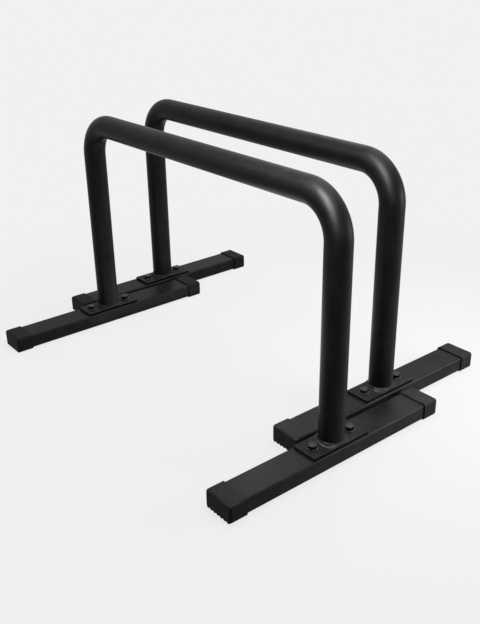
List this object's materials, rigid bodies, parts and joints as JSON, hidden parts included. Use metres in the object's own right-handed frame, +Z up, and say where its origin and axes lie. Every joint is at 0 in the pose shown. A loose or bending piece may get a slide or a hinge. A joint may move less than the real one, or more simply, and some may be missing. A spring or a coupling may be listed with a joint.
{
  "type": "parallette bar",
  "caption": "Free-standing low parallette bars: bent round grip tubes welded and bolted to rectangular tube feet with ribbed rubber end caps.",
  "frame": {"origin": "on the floor, midway between the two bars, at the bottom centre of the pair's box", "axes": "+X along the grips, towards the front bar's side of the nesting step; +Y along the feet, from the front bar to the rear bar; +Z up. Left is -X and right is +X; a foot's toe is its -Y end and its heel its +Y end"},
  "size_m": [0.749, 0.594, 0.415],
  "materials": {
    "powder_coat": "fine-textured matte black powder coat",
    "cap_rubber": "matte black moulded rubber",
    "blackened_steel": "black zinc plated, satin",
    "zinc_steel": "bright zinc plated"
  },
  "bodies": {
    "front_bar": {"front_grip_tube": "powder_coat", "front_left_foot_tube": "powder_coat", "front_left_toe_cap": "cap_rubber", "front_left_heel_cap": "cap_rubber", "front_left_base_plate": "powder_coat", "front_left_weld_bead": "powder_coat", "front_left_rivet_nuts": "zinc_steel", "front_left_washers": "blackened_steel", "front_left_bolts": "blackened_steel", "front_right_foot_tube": "powder_coat", "front_right_toe_cap": "cap_rubber", "front_right_heel_cap": "cap_rubber", "front_right_base_plate": "powder_coat", "front_right_weld_bead": "powder_coat", "front_right_rivet_nuts": "zinc_steel", "front_right_washers": "blackened_steel", "front_right_bolts": "blackened_steel"},
    "rear_bar": {"rear_grip_tube": "powder_coat", "rear_left_foot_tube": "powder_coat", "rear_left_toe_cap": "cap_rubber", "rear_left_heel_cap": "cap_rubber", "rear_left_base_plate": "powder_coat", "rear_left_weld_bead": "powder_coat", "rear_left_rivet_nuts": "zinc_steel", "rear_left_washers": "blackened_steel", "rear_left_bolts": "blackened_steel", "rear_right_foot_tube": "powder_coat", "rear_right_toe_cap": "cap_rubber", "rear_right_heel_cap": "cap_rubber", "rear_right_base_plate": "powder_coat", "rear_right_weld_bead": "powder_coat", "rear_right_rivet_nuts": "zinc_steel", "rear_right_washers": "blackened_steel", "rear_right_bolts": "blackened_steel"}
  },
  "joints": [
    {"name": "bar_spacing", "type": "slide", "parent": "front_bar", "child": "rear_bar", "axis": [0, 1, 0], "range_m": [0, 0.43]}
  ]
}
